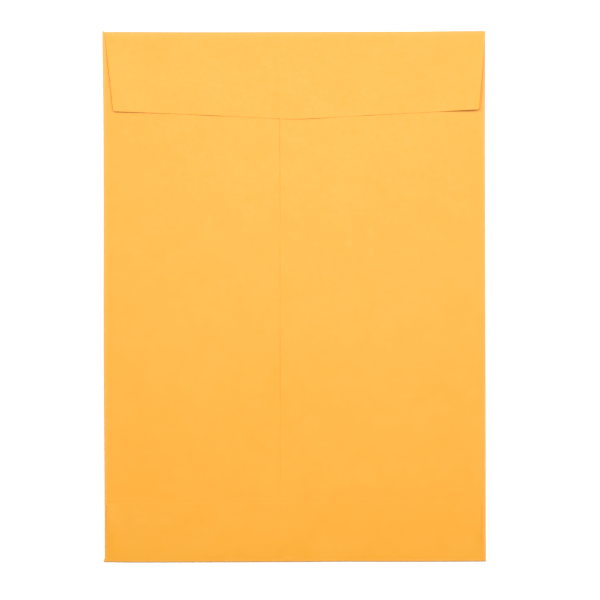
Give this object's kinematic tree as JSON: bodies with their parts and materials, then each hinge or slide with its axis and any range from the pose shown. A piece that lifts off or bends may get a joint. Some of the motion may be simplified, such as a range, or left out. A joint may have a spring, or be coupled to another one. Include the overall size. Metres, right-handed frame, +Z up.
{
  "type": "paper envelope",
  "caption": "Open-end kraft paper envelope, folded from one sheet, with a lapped centre seam, a glued bottom flap and a shallow pointed closing flap folded down.",
  "frame": {"origin": "on the table, under the middle of the envelope as it lies on its front panel", "axes": "+Z up, out of the back with its seam and flaps; +Y from the bottom fold to the fold of the closing flap; +X to the right as the back is looked at"},
  "size_m": [0.1918, 0.2664, 0.0013],
  "materials": {
    "kraft_paper": "matte"
  },
  "bodies": {
    "root": {"envelope": "kraft_paper"}
  },
  "joints": []
}
